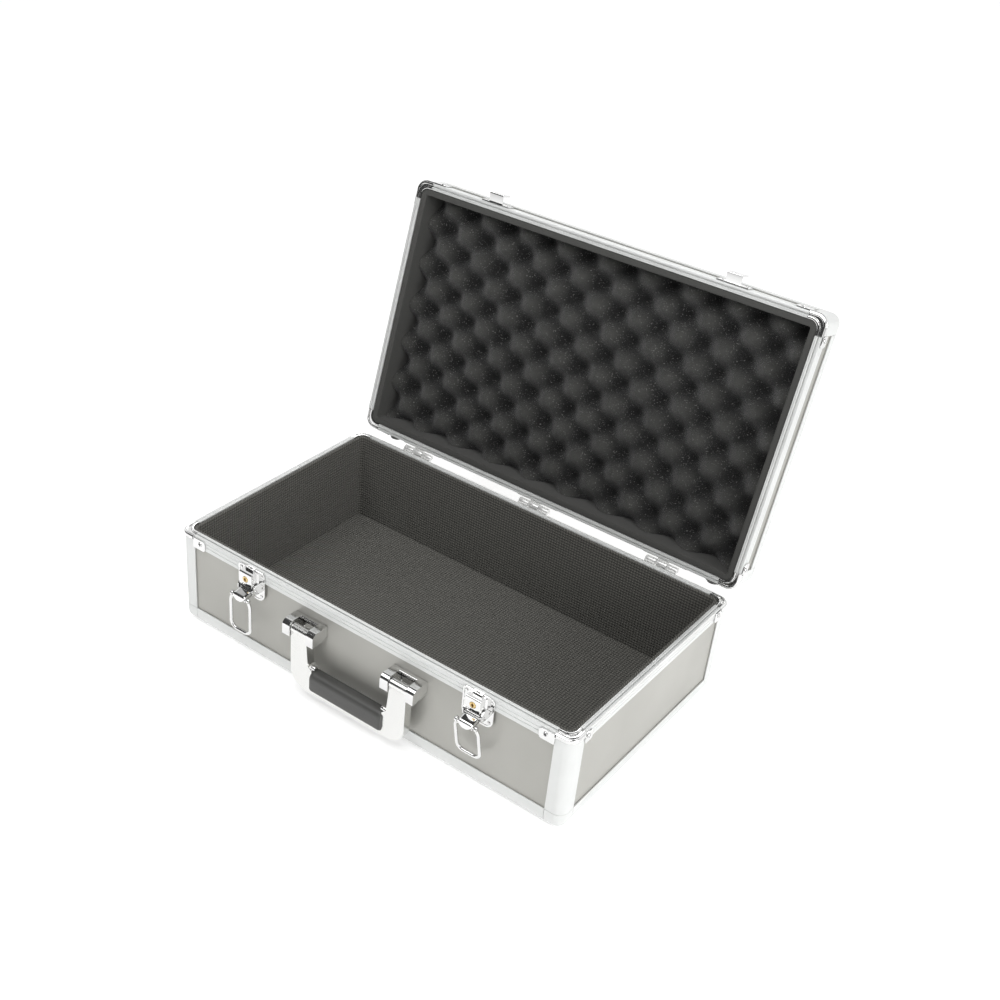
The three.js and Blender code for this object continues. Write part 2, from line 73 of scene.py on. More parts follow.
# Each side's outward axis and sign, and each half's seam with the way into it.
SIDES = {"front": ("y", -1), "back": ("y", 1), "left": ("x", -1), "right": ("x", 1)}
SEAMS = {"base": (BASE_TOP, -1), "lid": (LID_SEAM, 1)}

joint = {j["name"]: j for j in frame["joints"]}


def joint_at(name):
    return Vector(joint[name]["pos_m"])


HINGE = joint_at("lid_hinge")
OPEN_ANGLE = math.radians(joint["lid_hinge"]["range_deg"][1])
OPEN_LID = (Matrix.Translation(HINGE) @ Matrix.Rotation(-OPEN_ANGLE, 4, "X")
            @ Matrix.Translation(-HINGE))

# The four corners, counter-clockwise from above, with the angle where each one's rounding starts.
CORNERS = {"front_right": (1, -1, -90), "back_right": (1, 1, 0),
           "back_left": (-1, 1, 90), "front_left": (-1, -1, 180)}


# ---- materials

TABLE_GLOW = 0.35
PRESS_PITCH = 4.3 * MM               # from one diamond of the pressed lining to the next


def smooth_step(tree, socket, *limits):
    """Goes smoothly from the third limit to the fourth as socket goes from the first to the second."""
    node = tree.nodes.new("ShaderNodeMapRange")
    node.interpolation_type = "SMOOTHSTEP"
    for name, value in zip(("From Min", "From Max", "To Min", "To Max"), limits):
        node.inputs[name].default_value = value
    tree.links.new(socket, node.inputs["Value"])
    return node.outputs["Result"]


class Nodes:
    """A material's node tree, with short calls for the nodes that every finish needs."""

    def __init__(self, name, base, roughness, metallic=0.0):
        self.material = bpy.data.materials.new(name)
        self.material.use_nodes = True
        self.tree = self.material.node_tree
        self.shader = self.tree.nodes["Principled BSDF"]
        self.shader.inputs["Base Color"].default_value = (*base, 1)
        self.shader.inputs["Roughness"].default_value = roughness
        self.shader.inputs["Metallic"].default_value = metallic
        self.material.diffuse_color = (*base, 1)
        self.place = self.add("ShaderNodeTexCoord").outputs["Object"]

    def add(self, kind, **settings):
        node = self.tree.nodes.new(kind)
        for key, value in settings.items():
            setattr(node, key, value)
        return node

    def link(self, source, target):
        self.tree.links.new(source, target)

    def scaled(self, scale):
        mapping = self.add("ShaderNodeMapping")
        mapping.inputs["Scale"].default_value = scale
        self.link(self.place, mapping.inputs["Vector"])
        return mapping.outputs["Vector"]

    def noise(self, scale, detail=2.0, roughness=0.5, stretch=(1, 1, 1)):
        """Noise with features about 1/scale metres across, from 0 to 1."""
        node = self.add("ShaderNodeTexNoise")
        node.inputs["Scale"].default_value = scale
        node.inputs["Detail"].default_value = detail
        node.inputs["Roughness"].default_value = roughness
        self.link(self.scaled(stretch), node.inputs["Vector"])
        return node.outputs["Fac"]

    def math(self, operation, a, b=None, clamp=False):
        node = self.add("ShaderNodeMath", operation=operation, use_clamp=clamp)
        for socket, value in zip(node.inputs, (a, b)):
            if isinstance(value, (int, float)):
                socket.default_value = value
            elif value is not None:
                self.link(value, socket)
        return node.outputs[0]

    def blend(self, a, b, share):
        """a and b added up, in these two shares."""
        return self.math("ADD", self.math("MULTIPLY", a, share[0]), self.math("MULTIPLY", b, share[1]))

    def component(self, axis):
        split = self.add("ShaderNodeSeparateXYZ")
        self.link(self.place, split.inputs[0])
        return split.outputs[axis]

    def ramp(self, factor, low, high, at=(0.0, 1.0)):
        """Colour or grey value that goes from low to high as factor crosses the stops in at."""
        node = self.add("ShaderNodeValToRGB")
        for element, stop, value in zip(node.color_ramp.elements, at, (low, high)):
            element.position = stop
            element.color = (*value, 1) if isinstance(value, tuple) else (value, value, value, 1)
        self.link(factor, node.inputs["Fac"])
        return node.outputs["Color"]

    def bump(self, height, distance, strength=1.0, under=None):
        node = self.add("ShaderNodeBump")
        node.inputs["Distance"].default_value = distance
        node.inputs["Strength"].default_value = strength
        self.link(height, node.inputs["Height"])
        if under is not None:
            self.link(under, node.inputs["Normal"])
        return node.outputs["Normal"]

    def set(self, name, source):
        if isinstance(source, (int, float)):
            self.shader.inputs[name].default_value = source
        else:
            self.link(source, self.shader.inputs[name])


def satin(name, along):
    """Drawn and anodised aluminium: faint die lines along the extrusion, slightly uneven sheen."""
    n = Nodes(name, (0.73, 0.74, 0.73), 0.42, 0.3)
    stretch = [1.0, 1.0, 1.0]
    stretch["xyz".index(along)] = 0.012
    lines = n.noise(2600, 3, 0.6, stretch)
    cloud = n.noise(22, 3)
    n.set("Roughness", n.ramp(n.blend(lines, cloud, (0.5, 0.5)), 0.36, 0.50, (0.3, 0.7)))
    n.set("Base Color", n.ramp(cloud, (0.70, 0.71, 0.70), (0.76, 0.77, 0.76), (0.3, 0.7)))
    n.set("Normal", n.bump(lines, 0.00004, 0.5))
    return n.material


def plating(name, tone, low, high, metallic=1.0):
    """Bright nickel-chrome plating, with faint smears and the slight waviness of polished steel."""
    n = Nodes(name, tone, low, metallic)
    n.set("Roughness", n.ramp(n.noise(90, 4, 0.6), low, high, (0.35, 0.75)))
    n.set("Normal", n.bump(n.noise(110, 2), 0.00008, 0.25))
    return n.material


def laminate():
    """Grey metallic laminate on the boards: a very fine grain with a soft sheen."""
    n = Nodes("grey_laminate", (0.42, 0.415, 0.385), 0.4, 0.35)
    grain = n.noise(2400, 2, 0.6)
    cloud = n.noise(9, 3)
    tone = n.blend(grain, cloud, (0.35, 0.65))
    n.set("Base Color", n.ramp(tone, (0.385, 0.38, 0.352), (0.45, 0.445, 0.415), (0.35, 0.65)))
    n.set("Roughness", n.ramp(grain, 0.34, 0.5, (0.3, 0.7)))
    n.set("Normal", n.bump(grain, 0.00006, 0.5))
    return n.material


def lining(name, across=None, shaded_tones=None):
    """Dark foam sheet. Where it is pressed, small diamonds run across it in rows.

    across is how the pattern's two directions follow from X, Y and Z, as two sets of weights, and
    shaded_tones are the colours of its hollows and its diamonds: painted shade in the hollows
    and painted light on the raised diamonds.
    """
    n = Nodes(name, (0.066, 0.064, 0.058), 0.75)
    felt = n.noise(1500, 3, 0.7)
    normal = n.bump(felt, 0.0001, 0.5)
    if across:
        waves = []
        for weights in across:
            dot = n.add("ShaderNodeVectorMath", operation="DOT_PRODUCT")
            n.link(n.place, dot.inputs[0])
            dot.inputs[1].default_value = [w * 2 * math.pi / PRESS_PITCH for w in weights]
            waves.append(n.math("SINE", dot.outputs["Value"]))
        diamonds = n.math("ADD", n.math("MULTIPLY", n.math("MULTIPLY", *waves), 0.5), 0.5)
        normal = n.bump(diamonds, 0.0012, 1.0, under=normal)
        # Painted shade and light: the colour follows the pressed relief, dark in the hollows and light
        # on the diamonds.
        n.set("Base Color", n.ramp(n.blend(diamonds, felt, (0.7, 0.3)), *shaded_tones, (0.2, 0.8)))
    else:
        n.set("Base Color", n.ramp(felt, (0.042, 0.042, 0.039), (0.058, 0.058, 0.054), (0.3, 0.7)))
    n.set("Normal", normal)
    n.set("Sheen Weight", 0.15)
    return n.material


def foam():
    """Open-cell foam: fine pores, painted shade that darkens its colour into the deep hollows, and
    painted glints, light dots where cut cell walls would shine.
    """
    n = Nodes("charcoal_foam", (0.022, 0.022, 0.024), 0.95)
    pores = n.noise(900, 4, 0.75)
    painted_glints = n.noise(700, 1, 0.5)
    # Painted shade: the colour goes darker from the peaks down into the hollows, with a little noise.
    depth = n.math("DIVIDE", n.math("SUBTRACT", n.component("Z"), FOAM_FACE), FOAM_DEPTH, clamp=True)
    shade = n.math("ADD", depth, n.math("MULTIPLY", n.noise(60, 3), 0.25))
    dark = n.ramp(shade, (0.050, 0.050, 0.046), (0.002, 0.002, 0.002), (0.15, 0.75))
    # Painted glints: a light grey mixed into the colour where the glint noise is highest.
    mix = n.add("ShaderNodeMix", data_type="RGBA")
    n.link(n.ramp(painted_glints, 0.0, 1.0, (0.64, 0.72)), mix.inputs["Factor"])
    n.link(dark, mix.inputs["A"])
    mix.inputs["B"].default_value = (0.13, 0.13, 0.125, 1)
    n.set("Base Color", mix.outputs["Result"])
    n.set("Normal", n.bump(pores, 0.0012, 0.8))
    n.set("Sheen Weight", 0.2)
    n.set("Sheen Roughness", 0.5)
    return n.material


def black_plastic():
    n = Nodes("black_plastic", (0.070, 0.070, 0.067), 0.4)
    n.set("Roughness", n.ramp(n.noise(500, 3), 0.34, 0.46, (0.3, 0.7)))
    n.set("Normal", n.bump(n.noise(1600, 2), 0.00005, 0.5))
    return n.material


def worn_metal(name, tone, low, high):
    """A small plain metal part: brass, or dark steel."""
    n = Nodes(name, tone, low, 1.0)
    n.set("Roughness", n.ramp(n.noise(700, 3), low, high, (0.3, 0.7)))
    n.set("Normal", n.bump(n.noise(3000, 2), 0.00003, 0.5))
    return n.material


def pale_floor():
    """A white table. It glows a little, except far in front, to stay white under the case."""
    n = Nodes("pale_floor", (0.9, 0.9, 0.9), 0.9)
    n.set("Specular IOR Level", 0.1)
    n.shader.inputs["Emission Color"].default_value = (1, 1, 1, 1)
    n.set("Emission Strength", smooth_step(n.tree, n.component("Y"), -2.8, -1.6, 0.0, TABLE_GLOW))
    return n.material


# On walls the pattern follows X and Y together, so that it runs on round the corners.
SLANT = math.sqrt(0.5)
SATIN = {axis: satin(f"satin_aluminium_{axis}", axis) for axis in "xyz"}
HANDLE_PLATE = plating("handle_plating", (0.78, 0.78, 0.765), 0.16, 0.26)
HINGE_PLATE = plating("zinc_plating", (0.80, 0.80, 0.79), 0.22, 0.34, 0.4)
CHROME = plating("bright_chrome", (0.755, 0.755, 0.75), 0.045, 0.12)
GUNMETAL = worn_metal("dark_steel", (0.10, 0.10, 0.10), 0.3, 0.45)
LAMINATE = laminate()
# The floor's pressed lining has lighter diamonds than the walls': painted light, where the floor faces
# up into the lamps.
LINING = {
    "plain": lining("plain_lining"),
    "wall": lining("pressed_lining_walls", ((SLANT, SLANT, SLANT), (SLANT, SLANT, -SLANT)),
                   ((0.040, 0.039, 0.033), (0.124, 0.120, 0.106))),
    "floor": lining("pressed_lining_floor", ((SLANT, SLANT, 0), (SLANT, -SLANT, 0)),
                    ((0.036, 0.035, 0.030), (0.166, 0.161, 0.143))),
}
FOAM = foam()
PLASTIC = black_plastic()
BRASS = worn_metal("key_brass", (0.66, 0.49, 0.23), 0.18, 0.35)


# ---- objects

def bevel(obj, width, segments=3, angle=30):
    """Rounds every edge sharper than angle, and keeps the flats flat."""
    modifier = obj.modifiers.new("edges", "BEVEL")
    modifier.width = width
    modifier.segments = segments
    modifier.limit_method = "ANGLE"
    modifier.angle_limit = math.radians(angle)
    modifier.harden_normals = True
    modifier.miter_outer = "MITER_ARC"
    return obj


def on_body(obj, body, slot, *nodes):
    """obj rides on a body and stands for CAD nodes, which it hides. slot is not used."""
    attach(obj, body)
    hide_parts(*nodes)
    return obj


def finished(name, bm, material, body, slot, *nodes, angle=35):
    """Turns a bmesh into an object. Pieces for the lid are drawn shut and placed open."""
    if all(edge.is_manifold for edge in bm.edges):
        bmesh.ops.recalc_face_normals(bm, faces=bm.faces)
    mesh = bpy.data.meshes.new(name)
    bm.to_mesh(mesh)
    bm.free()
    mesh.shade_smooth()
    mesh.set_sharp_from_angle(angle=math.radians(angle))
    mesh.materials.append(material)
    obj = bpy.data.objects.new(name, mesh)
    bpy.context.scene.collection.objects.link(obj)
    if body == "lid":
        obj.matrix_world = OPEN_LID
    if body:
        on_body(obj, body, slot, *nodes)
    return obj


def shown(node, bm, material, body, slot, angle=35):
    """The visible piece that stands for one CAD node."""
    return finished(f"{node}_shown", bm, material, body, slot, node, angle=angle)


def hung(node, bm, place, angle=35):
    """A moving chrome piece, drawn about its own axis and then placed as it rests."""
    obj = shown(node, bm, CHROME, None, None, angle)
    obj.matrix_world = place
    return on_body(obj, node, "chrome", node)


def rim_edges(bm):
    return [edge for edge in bm.edges if edge.is_boundary]


def refined(node, material, slot, body="base", width=0.3 * MM, back=None):
    """The CAD piece again, with rounded edges and clean shading. Nothing behind back is kept."""
    bm = bmesh.new()
    bm.from_mesh(frame["nodes"][node].data)
    bmesh.ops.remove_doubles(bm, verts=bm.verts, dist=2e-6)
    if body == "lid":
        bm.transform(OPEN_LID.inverted())
    if back is not None:
        geometry = bm.verts[:] + bm.edges[:] + bm.faces[:]
        bmesh.ops.bisect_plane(bm, geom=geometry, plane_co=(0, back + 0.02 * MM, 0), plane_no=(0, 1, 0),
                               clear_outer=True)
        bmesh.ops.holes_fill(bm, edges=rim_edges(bm))
    bmesh.ops.dissolve_limit(bm, angle_limit=math.radians(0.6), verts=bm.verts, edges=bm.edges)
    return bevel(shown(node, bm, material, body, slot), width)


# ---- outlines and solids

def mm(*points):
    """Points given in millimetres."""
    return [tuple(value * MM for value in point) for point in points]


def span(side, near, far, middle=0.0):
    """From near to far, in millimetres, on one side of middle, with the lower end first."""
    return sorted((middle + side * near * MM, middle + side * far * MM))


def arc(centre, radius, start, end, steps=8):
    """Points on an arc, angles in degrees, both ends included."""
    angles = (math.radians(start + (end - start) * i / steps) for i in range(steps + 1))
    return [(centre[0] + radius * math.cos(a), centre[1] + radius * math.sin(a)) for a in angles]


def fillet(points, radii, steps=6):
    """A closed outline with its corners rounded, by one radius or by one for each corner."""
    if isinstance(radii, (int, float)):
        radii = [radii] * len(points)
    rounded = []
    for i, (point, radius) in enumerate(zip(points, radii)):
        here = Vector(point)
        back, on = Vector(points[i - 1]) - here, Vector(points[(i + 1) % len(points)]) - here
        half = back.angle(on) / 2
        if radius <= 0 or half > math.radians(89):
            rounded.append(tuple(here))
            continue
        run = min(radius / math.tan(half), back.length * 0.49, on.length * 0.49)
        radius = run * math.tan(half)
        centre = here + (back.normalized() + on.normalized()).normalized() * (radius / math.sin(half))
        first, last = here + back.normalized() * run - centre, here + on.normalized() * run - centre
        turn = first.angle_signed(last)
        for k in range(steps + 1):
            spoke = first.copy()
            spoke.rotate(Matrix.Rotation(-turn * k / steps, 2))
            rounded.append(tuple(centre + spoke))
    return rounded


def box_outline(a0, a1, b0, b1, radii=0.0, steps=6):
    return fillet([(a0, b0), (a1, b0), (a1, b1), (a0, b1)], radii, steps)


PLANES = {"x": (1, 2, 0), "y": (0, 2, 1), "z": (0, 1, 2)}


def ring_at(bm, axis, points, level):
    """Vertices at one level along axis, with points drawn in the two other axes."""
    across, up, along = PLANES[axis]
    ring = []
    for a, b in points:
        place = [0.0, 0.0, 0.0]
        place[across], place[up], place[along] = a, b, level
        ring.append(bm.verts.new(place))
    return ring


def skin(bm, rings, closed=False):
    """Joins rings of vertices, one to the next, and caps the ends unless the path is closed."""
    count = len(rings[0])
    following = rings[1:] + rings[:1] if closed else rings[1:]
    for ring, after in zip(rings, following):
        for i in range(count):
            j = (i + 1) % count
            bm.faces.new((ring[i], ring[j], after[j], after[i]))
    if not closed:
        bm.faces.new(list(reversed(rings[0])))
        bm.faces.new(rings[-1])


def strip(bm, row, after):
    """Joins two open rows of vertices."""
    for k in range(len(row) - 1):
        bm.faces.new((row[k], row[k + 1], after[k + 1], after[k]))


def solid(axis, outline, low, high):
    """A prism: its outline is drawn in the two other axes, and it runs along axis."""
    bm = bmesh.new()
    skin(bm, [ring_at(bm, axis, outline, level) for level in (low, high)])
    return bm


def turned(axis, centre, profile, steps=32):
    """A turned part: profile is a list of (radius, place along the axis)."""
    bm = bmesh.new()
    skin(bm, [ring_at(bm, axis, arc(centre, radius, 0, 360, steps)[:-1], level)
              for radius, level in profile])
    return bm


def rod(axis, centre, radius, low, high, steps=32, edge=0.0):
    """A round bar. edge rounds its two rims."""
    profile = [(radius, low), (radius, high)]
    if edge:
        profile = [*arc((radius - edge, low + edge), edge, -90, 0, 2),
                   *arc((radius - edge, high - edge), edge, 0, 90, 2)]
    return turned(axis, centre, profile, steps)


def dome(axis, centre, radius, foot, top, steps=24):
    """A rivet's or bolt's domed head, from its foot on the face to its crown."""
    rise = top - foot
    profile = [(radius * math.cos(a), foot + rise * (0.25 + 0.75 * math.sin(a)))
               for a in (math.radians(10 * k) for k in range(9))]
    return turned(axis, centre, [(radius, foot), *profile], steps)


def wire(points, radius, steps=14):
    """A round wire along a path in the XZ plane."""
    bm = bmesh.new()
    rings = []
    across = Vector((0, 1, 0))
    for i, (x, z) in enumerate(points):
        before, after = points[max(i - 1, 0)], points[min(i + 1, len(points) - 1)]
        heading = Vector((after[0] - before[0], 0, after[1] - before[1])).normalized()
        side = heading.cross(across)
        rings.append([bm.verts.new(Vector((x, 0, z)) + side * a + across * b)
                      for a, b in arc((0, 0), radius, 0, 360, steps)[:-1]])
    skin(bm, rings)
    return bm


def temporary_mesh(bm):
    """The bmesh as a mesh, with all its faces turned outwards. It uses up the bmesh."""
    bmesh.ops.recalc_face_normals(bm, faces=bm.faces)
    mesh = bpy.data.meshes.new("temporary")
    bm.to_mesh(mesh)
    bm.free()
    return mesh


def merged(*parts):
    """Several bmeshes in one."""
    whole = bmesh.new()
    for part in parts:
        mesh = temporary_mesh(part)
        whole.from_mesh(mesh)
        bpy.data.meshes.remove(mesh)
    return whole


def boolean(body, operation, *tools):
    """The body with tools cut away or joined on, worked out once. All are bmeshes."""
    objects = [bpy.data.objects.new("temporary", temporary_mesh(bm)) for bm in (body, *tools)]
    for obj in objects:
        bpy.context.scene.collection.objects.link(obj)
    for tool in objects[1:]:
        modifier = objects[0].modifiers.new("boolean", "BOOLEAN")
        modifier.object = tool
        modifier.operation = operation
        modifier.solver = "EXACT"
    graph = bpy.context.evaluated_depsgraph_get()
    result = bpy.data.meshes.new_from_object(objects[0].evaluated_get(graph))
    bm = bmesh.new()
    bm.from_mesh(result)
    bmesh.ops.remove_doubles(bm, verts=bm.verts, dist=2e-6)
    bmesh.ops.dissolve_limit(bm, angle_limit=math.radians(0.3), verts=bm.verts, edges=bm.edges)
    bpy.data.meshes.remove(result)
    for obj in objects:
        mesh = obj.data
        bpy.data.objects.remove(obj)
        bpy.data.meshes.remove(mesh)
    return bm


def cut(body, *tools):
    return boolean(body, "DIFFERENCE", *tools)


def joined(body, *parts):
    return boolean(body, "UNION", *parts)


# ---- rounded outer extrusions

def rounded_box(z0, z1):
    """A box as long and deep as the case, with every edge and corner rounded."""
    bm = bmesh.new()
    size = Matrix.Diagonal((2 * HALF_X, 2 * HALF_Y, z1 - z0, 1))
    middle = Matrix.Translation((0, 0, (z0 + z1) / 2))
    bmesh.ops.create_cube(bm, size=1, matrix=middle @ size)
    bmesh.ops.bevel(bm, geom=bm.edges[:], offset=EDGE_R, offset_type="OFFSET", segments=10,
                    profile=0.5, affect="EDGES")
    return bm


def skin_piece(name, box, limits, material, body, *nodes):
    """The part of a rounded box's skin within limits: pairs of axis and how far along it to keep.

    A limit such as ("x", 0.2) keeps x below 0.2, and ("-x", 0.2) keeps x above -0.2.
    """
    bm = box.copy()
    for axis, reach in limits:
        outward = Vector((0, 0, 0))
        outward["xyz".index(axis[-1])] = -1 if axis[0] == "-" else 1
        geometry = bm.verts[:] + bm.edges[:] + bm.faces[:]
        bmesh.ops.bisect_plane(bm, geom=geometry, plane_co=outward * reach, plane_no=outward,
                               clear_outer=True)
    obj = finished(name, bm, material, body, "extrusion", *nodes)
    shell = obj.modifiers.new("leg", "SOLIDIFY")
    shell.thickness = SKIN
    shell.offset = -1
    shell.use_even_offset = True
    return bevel(obj, 0.2 * MM, 2, 40)


def toward(axis, sign):
    return axis if sign > 0 else f"-{axis}"


def edge_rails(body, box, z_limit, node_of):
    """The four rounded rails along one outer edge of the case."""
    end = FRAME_W + FIT / 2
    for side, (axis, sign) in SIDES.items():
        along, half, length = ("x", HALF_Y, HALF_X) if axis == "y" else ("y", HALF_X, HALF_Y)
        limits = [z_limit, (toward(axis, -sign), FRAME_W - half), (along, length - end),
                  (f"-{along}", length - end)]
        skin_piece(f"{body}_{side}_rail_shown", box, limits, SATIN[along], body, node_of(side))


def corner_skin(name, tag, box, z_limits, inset, body, node):
    """What a rounded box's skin shows at one corner, inset from the two faces."""
    sx, sy, _ = CORNERS[tag]
    limits = [*z_limits, (toward("x", -sx), inset - HALF_X), (toward("y", -sy), inset - HALF_Y)]
    skin_piece(f"{name}_{tag}_shown", box, limits, SATIN["z"], body, node)


def build_extrusions():
    base_box = rounded_box(0, 2 * CLOSED_TOP)
    lid_box = rounded_box(-CLOSED_TOP, CLOSED_TOP)
    edge_rails("base", base_box, ("z", FRAME_W), lambda side: f"base_{side}_rail")
    edge_rails("lid", lid_box, ("-z", FRAME_W - CLOSED_TOP), lambda side: "lid_edge_frame")
    ball, post_foot = FRAME_W - FIT / 2, FRAME_W + FIT / 2
    post = [("-z", -post_foot), ("z", BASE_TOP - RIM_BLOCK - FIT)]
    lid_leg = [("-z", -(LID_SEAM + RIM_BLOCK + FIT))]
    for tag in CORNERS:
        corner_skin("base_ball_corner", tag, base_box, [("z", ball)], ball, "base",
                    f"base_ball_corner_{tag}")
        corner_skin("base_post", tag, base_box, post, FRAME_W, "base", f"base_post_{tag}")
        corner_skin("lid_ball_corner", tag, lid_box, lid_leg, ball, "lid", "lid_edge_frame")
    base_box.free()
    lid_box.free()


# ---- rims and their corners

def side_place(side, depth):
    """Where a depth behind one side's outer face lies on that side's own axis."""
    axis, sign = SIDES[side]
    return sign * ((HALF_Y if axis == "y" else HALF_X) - depth)


# Depth behind the outer face and height from the seam, in millimetres.
RIM_SECTION = [
    (3.5, 0.25), (3.75, 0), (4.75, 0), (4.85, 0.5), (5.15, 0.5), (5.25, 0), (6.05, 0), (6.3, 0.25),
    (6.3, 6), (1.2, 6), (1.2, 12.7), (0, 12.7), (0, 8.65), (0.55, 8.5), (0.55, 8.15), (0, 8.0),
    (0, 4.65), (0.55, 4.5), (0.55, 4.15), (0, 4.0), (0, 1.4), (0.15, 1.0), (0.55, 0.8), (2.2, 0.8),
    (2.4, 1.0), (2.4, 2.4), (3.3, 2.4),
]


def build_rims():
    for body, (seam, into) in SEAMS.items():
        for side, (axis, _) in SIDES.items():
            along, half = ("x", HALF_X) if axis == "y" else ("y", HALF_Y)
            end = half - FRAME_W - FIT
            outline = [(side_place(side, depth * MM), seam + into * height * MM)
                       for depth, height in RIM_SECTION]
            rim = solid(along, outline, -end, end)
            bevel(shown(f"{body}_{side}_rim", rim, SATIN[along], body, "extrusion"), 0.15 * MM, 2, 50)


def corner_path(tag, depth, centre, steps=14):
    """A plan line round one corner at a depth behind the faces: leg, rounding, leg."""
    sx, sy, start = CORNERS[tag]
    middle = (sx * (HALF_X - centre), sy * (HALF_Y - centre))
    bend = arc(middle, centre - depth, start, start + 90, steps)
    leg = FRAME_W - centre
    first, last = math.radians(start - 90), math.radians(start + 180)
    begin = (bend[0][0] + leg * math.cos(first), bend[0][1] + leg * math.sin(first))
    finish = (bend[-1][0] + leg * math.cos(last), bend[-1][1] + leg * math.sin(last))
    return [begin, *bend, finish]


# The same for the rim corners. Points deeper than INNER_LIP turn the corner more widely.
CORNER_SECTION = [
    (6.3, 6.0), (6.3, 0.5), (6.15, 0.15), (5.8, 0), (4.5, 0), (4.1, 0.2), (3.9, 0.6), (3.5, 2.0),
    (2.35, 2.0), (2.2, 1.1), (2.0, 0.85), (1.4, 0.7), (0.7, 0.8), (0.1, 1.15), (-0.1, 1.7),
    (-0.8, 1.95), (-1.2, 2.5), (-1.2, 5.2), (-0.9, 5.8), (-0.3, 6.0),
]
INNER_LIP = 3.4
WIDE_TURN = 14.3 * MM


def corner_band(tag, seam, into):
    bm = bmesh.new()
    lines = []
    for depth, height in CORNER_SECTION:
        centre = WIDE_TURN if depth > INNER_LIP else EDGE_R
        z = seam + into * height * MM
        lines.append([bm.verts.new((x, y, z)) for x, y in corner_path(tag, depth * MM, centre)])
    skin(bm, [list(ring) for ring in zip(*lines)])
    return bm


FLAP_REACH = {"x": 33 * MM, "y": 28 * MM}


def corner_flap(tag, seam, into, along):
    """The riveted flap beside a post, joined to the corner's band by a narrow neck."""
    sx, sy, _ = CORNERS[tag]
    face_axis, face_sign = ("y", sy) if along == "x" else ("x", sx)
    sign, half = (sx, HALF_X) if along == "x" else (sy, HALF_Y)
    face = HALF_Y if along == "x" else HALF_X
    reach = FLAP_REACH[along]

    def place(from_corner, height):
        return sign * (half - from_corner), seam + into * height * MM

    tab = [place(17.4 * MM, 13.6), place(reach, 13.6), place(reach, 2.4), place(16.6 * MM, 2.4),
           place(16.6 * MM, 6.0), place(17.4 * MM, 6.6)]
    outline = fillet(tab, [1.5 * MM, 3 * MM, 3 * MM, 0, 0, 0.5 * MM])
    flap = solid(face_axis, outline, face_sign * (face + FIT), face_sign * (face + 1.2 * MM))
    return flap, place(reach - 6.5 * MM, 7.2), face_axis, face_sign * face


RIVET_RING = [(2.4, 1.0), (2.35, 1.7), (2.0, 2.05), (1.6, 2.0), (1.35, 1.3)]
RIVET_CORE = [(1.45, 1.0), (1.4, 1.42), (0.6, 1.6)]


def build_rim_corners():
    for body, (seam, into) in SEAMS.items():
        for tag in CORNERS:
            node = f"{body}_rim_corner_{tag}"
            parts, cores = [corner_band(tag, seam, into)], []
            for along in "xy":
                flap, spot, axis, face = corner_flap(tag, seam, into, along)
                out = math.copysign(MM, face)
                ring, core = ([(radius * MM, face + proud * out) for radius, proud in profile]
                              for profile in (RIVET_RING, RIVET_CORE))
                parts += [flap, turned(axis, spot, ring, 24)]
                cores.append(turned(axis, spot, core, 20))
            bevel(shown(node, merged(*parts), CHROME, body, "chrome"), 0.15 * MM, 2, 50)
            finished(f"{node}_rivet_cores", merged(*cores), GUNMETAL, body, "chrome", node)


# ---- boards and linings

BOARD_BACK = HALF_Y - 1.5 * MM
FOOT_X = 195 * MM
FEET = {"base_back_board": ("base", 32 * MM), "lid_board": ("lid", 125.5 * MM)}
# Radius and height above the board, in millimetres, from the foot's root round into its screw hole.
FOOT_PROFILE = [(6.2, 0.05), (6.2, 6.2), (6.05, 7.4), (5.6, 8.5), (4.9, 9.15), (4.1, 9.3), (3.1, 9.3),
                (2.8, 9.1), (2.7, 8.7), (2.7, 6.6)]


def build_boards():
    for side in SIDES:
        refined(f"base_{side}_board", LAMINATE, "panel", back=BOARD_BACK if side == "back" else None)
    refined("base_bottom_board", LAMINATE, "panel", width=0.6 * MM)
    refined("lid_board", LAMINATE, "panel", "lid", back=BOARD_BACK)


def foot_screw(x, z):
    """A cross-head screw, sunk in the foot."""
    head = dome("y", (x, z), 2.55 * MM, BOARD_BACK + 6.5 * MM, BOARD_BACK + 7.9 * MM)
    slots = [solid("y", box_outline(x - a, x + a, z - b, z + b), BOARD_BACK + 7.2 * MM,
                   BOARD_BACK + 9 * MM) for a, b in mm((0.3, 1.5), (1.5, 0.3))]
    return cut(head, *slots)


def build_feet():
    """Rubber feet on the back, so that the shut case can be put down on its hinge side."""
    profile = [(radius * MM, BOARD_BACK + rise * MM) for radius, rise in FOOT_PROFILE]
    for node, (body, z) in FEET.items():
        for tag, x in (("left", -FOOT_X), ("right", FOOT_X)):
            finished(f"{body}_back_foot_{tag}", turned("y", (x, z), profile, 40), PLASTIC, body, "grip",
                     node, angle=50)
            finished(f"{body}_back_foot_screw_{tag}", foot_screw(x, z), GUNMETAL, body, "chrome", node)


